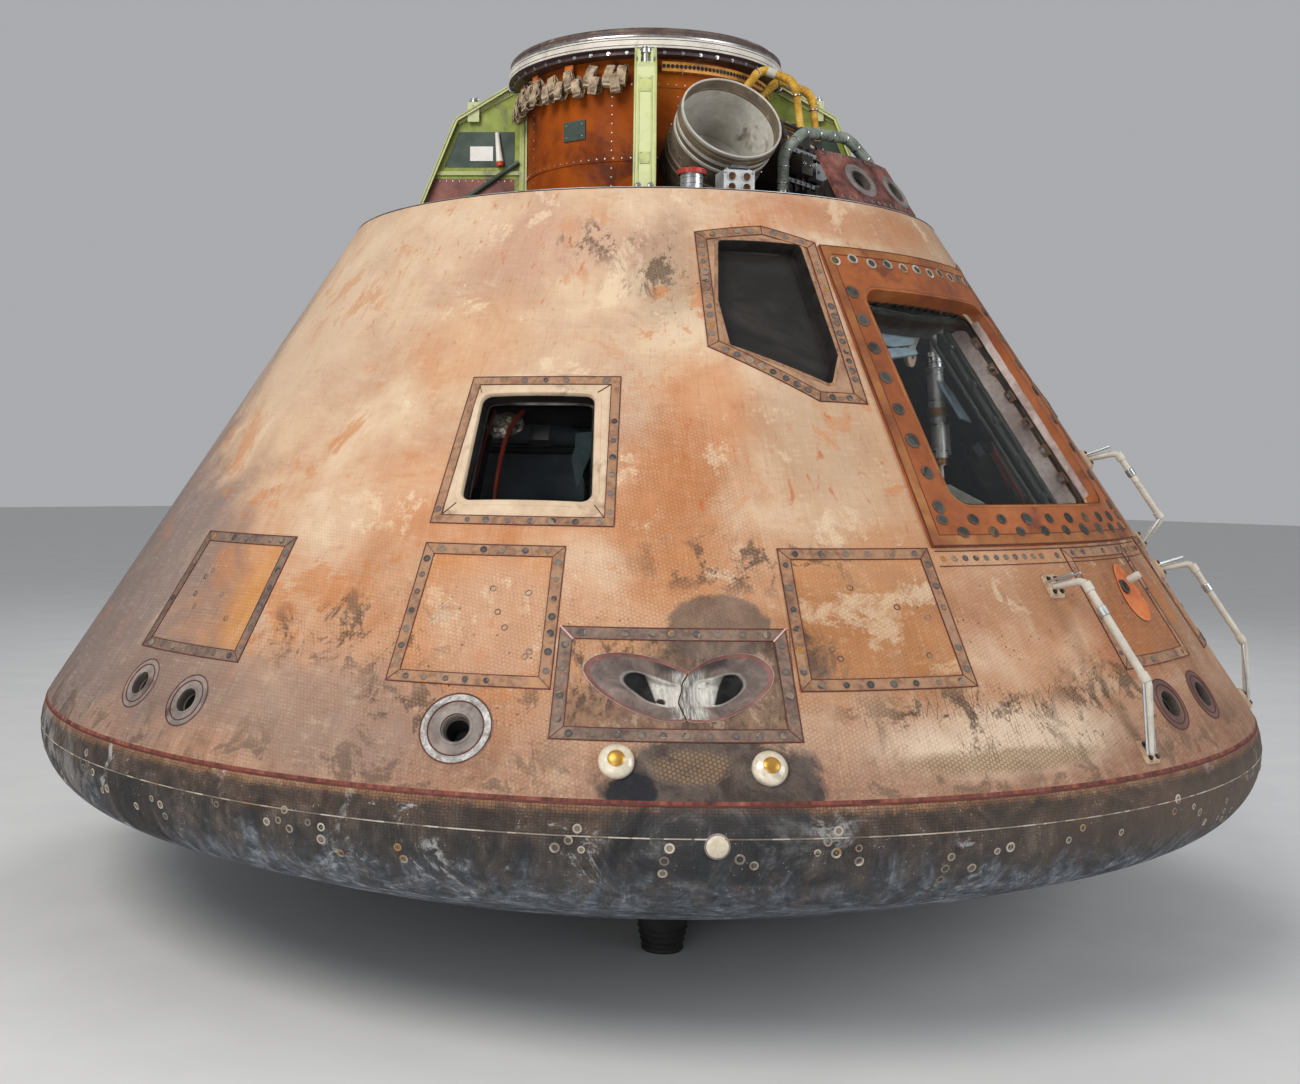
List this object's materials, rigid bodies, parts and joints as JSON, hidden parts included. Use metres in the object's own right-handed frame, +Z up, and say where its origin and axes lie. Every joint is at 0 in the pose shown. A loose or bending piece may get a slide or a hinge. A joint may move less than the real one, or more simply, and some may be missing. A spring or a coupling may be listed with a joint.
{
  "type": "space capsule",
  "caption": "Scorched conical crew capsule on rubber pads, with heat shield, side hatchway behind a clear lift-off cover, windows, thrusters and a docking tunnel.",
  "frame": {"origin": "on the floor, on the capsule's axis, under the pole of the heat shield's dome", "axes": "+Z up the capsule's axis to the docking ring, -Y towards the side hatchway, +X to starboard (right when facing the hatchway)"},
  "size_m": [3.9115, 3.9114, 2.735],
  "materials": {
    "charred_shield": "charred, blue-grey with pale ash streaks",
    "seam_rubber": "red-brown, dull",
    "cabin_alloy": "satin",
    "pad_rubber": "black, dull",
    "window_frame": "scorched, cream to brown",
    "dark_glass": "smoked by heat",
    "panel_ablator": "scorched orange honeycomb filler",
    "nozzle_liner": "mauve-grey, sooted",
    "white_ceramic": "matt white",
    "hatch_ablator": "rust orange, scorched",
    "clear_cover": "clear sheet",
    "rail_paint": "white, worn",
    "deck_alloy": "dull grey, dusty",
    "orange_wall": "orange primer, semi-matt",
    "ring_alloy": "dark anodised with a pale band",
    "hatch_alloy": "satin",
    "green_primer": "yellow-green primer",
    "bright_steel": "bright",
    "strap_webbing": "tan webbing",
    "strip_gold": "orange-yellow",
    "can_grey": "warm grey, matt",
    "connector_alloy": "satin",
    "red_panel": "red-brown, scorched",
    "engine_dark": "dark, oily",
    "hose_grey": "grey sleeve",
    "hose_yellow": "yellow sleeve",
    "couch_fabric": "woven, grey",
    "console_paint": "grey-blue, matt",
    "arm_white": "white",
    "shell_ablator": "scorched, cream and tan with pink and orange patches"
  },
  "bodies": {
    "capsule": {"access_panels": "panel_ablator", "aft_heat_shield": "charred_shield", "antenna_discs": "white_ceramic", "cabin_floor": "cabin_alloy", "can_cradle": "deck_alloy", "connector_block": "connector_alloy", "coolant_hose": "hose_grey", "couch_frame": "cabin_alloy", "counterbalance_cylinder": "bright_steel", "crew_couches": "couch_fabric", "crew_shell_front": "shell_ablator", "crew_shell_port": "shell_ablator", "crew_shell_rear": "shell_ablator", "crew_shell_starboard": "shell_ablator", "docking_ring": "ring_alloy", "docking_tunnel": "orange_wall", "dump_nozzles": "white_ceramic", "equipment_bay": "console_paint", "forward_deck": "deck_alloy", "forward_pitch_engines": "engine_dark", "gusset_head_pins": "bright_steel", "hatch_frame": "hatch_ablator", "hatch_handrails": "rail_paint", "hinge_arm": "arm_white", "instrument_panel": "console_paint", "mortar_can": "can_grey", "perforated_strip": "strip_gold", "pitch_engine_panel": "red_panel", "pitch_thruster_nozzles": "nozzle_liner", "recovery_gear_housing": "engine_dark", "rendezvous_window_frames": "window_frame", "rendezvous_window_glass": "dark_glass", "roll_thruster_nozzles": "nozzle_liner", "roll_thruster_panels": "panel_ablator", "seam_seal": "seam_rubber", "side_window_frames": "window_frame", "side_window_glass": "dark_glass", "small_canister": "bright_steel", "steam_vent": "nozzle_liner", "strap_loops": "strap_webbing", "support_pads": "pad_rubber", "tunnel_gussets": "green_primer", "yaw_thruster_nozzles": "nozzle_liner", "yellow_hoses": "hose_yellow"},
    "hatch_cover_body": {"hatch_cover": "clear_cover"},
    "forward_hatch_body": {"forward_hatch": "hatch_alloy"}
  },
  "joints": [
    {"name": "hatch_cover_lift", "type": "slide", "parent": "capsule", "child": "hatch_cover_body", "axis": [0, -0.8387, 0.5446], "range_m": [0, 0.35]},
    {"name": "forward_hatch_lift", "type": "slide", "parent": "capsule", "child": "forward_hatch_body", "axis": [0, 0, 1], "range_m": [0, 0.7]}
  ]
}
